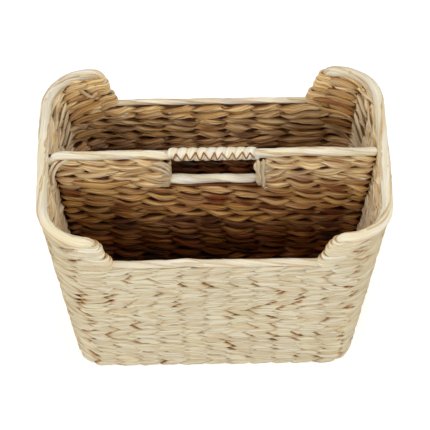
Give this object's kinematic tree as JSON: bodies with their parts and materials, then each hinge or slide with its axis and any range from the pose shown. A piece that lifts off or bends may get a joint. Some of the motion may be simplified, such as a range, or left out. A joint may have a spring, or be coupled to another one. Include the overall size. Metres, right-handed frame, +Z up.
{
  "type": "woven newspaper rack",
  "caption": "Tapered, round-cornered rack twined over a wire frame, with dipped front and back rims and a divider whose top edge is a wound carrying handle.",
  "frame": {"origin": "on the floor, below the middle of the rack", "axes": "+X along the divider to the right as seen from the front, +Y from the front to the back, +Z up"},
  "size_m": [0.4118, 0.2638, 0.2933],
  "materials": {
    "iron_wire": "dark lacquered iron wire, satin, all of it inside the weave",
    "bleached_weave": "twined dry plant strands, bleached cream outside, matt with a slight leaf sheen",
    "golden_weave": "twined dry plant strands, golden brown, matt",
    "bound_edge": "wound and plaited pale strands, smooth leaf skin, slight sheen"
  },
  "bodies": {
    "root": {"base_grid": "iron_wire", "base_weave": "golden_weave", "base_wire": "iron_wire", "corner_post_front_left": "iron_wire", "corner_post_front_right": "iron_wire", "corner_post_rear_left": "iron_wire", "corner_post_rear_right": "iron_wire", "divider_binding": "bound_edge", "divider_bottom_bar": "iron_wire", "divider_end_post_left": "iron_wire", "divider_end_post_right": "iron_wire", "divider_stake_left_1": "iron_wire", "divider_stake_left_2": "iron_wire", "divider_stake_left_3": "iron_wire", "divider_stake_right_1": "iron_wire", "divider_stake_right_2": "iron_wire", "divider_stake_right_3": "iron_wire", "divider_top_bar": "iron_wire", "divider_weave": "golden_weave", "front_stake_01": "iron_wire", "front_stake_02": "iron_wire", "front_stake_03": "iron_wire", "front_stake_04": "iron_wire", "front_stake_05": "iron_wire", "front_stake_06": "iron_wire", "front_stake_07": "iron_wire", "front_stake_08": "iron_wire", "front_stake_09": "iron_wire", "front_stake_10": "iron_wire", "front_stake_11": "iron_wire", "handle_winding": "bound_edge", "left_stake_1": "iron_wire", "left_stake_2": "iron_wire", "left_stake_3": "iron_wire", "left_stake_4": "iron_wire", "left_stake_5": "iron_wire", "rear_stake_01": "iron_wire", "rear_stake_02": "iron_wire", "rear_stake_03": "iron_wire", "rear_stake_04": "iron_wire", "rear_stake_05": "iron_wire", "rear_stake_06": "iron_wire", "rear_stake_07": "iron_wire", "rear_stake_08": "iron_wire", "rear_stake_09": "iron_wire", "right_stake_1": "iron_wire", "right_stake_2": "iron_wire", "right_stake_3": "iron_wire", "right_stake_4": "iron_wire", "right_stake_5": "iron_wire", "rim_binding": "bound_edge", "rim_wire": "iron_wire", "slot_frame": "iron_wire", "slot_lip": "bound_edge", "slot_wrap_left": "bound_edge", "slot_wrap_right": "bound_edge", "wall_weave": "bleached_weave"}
  },
  "joints": []
}
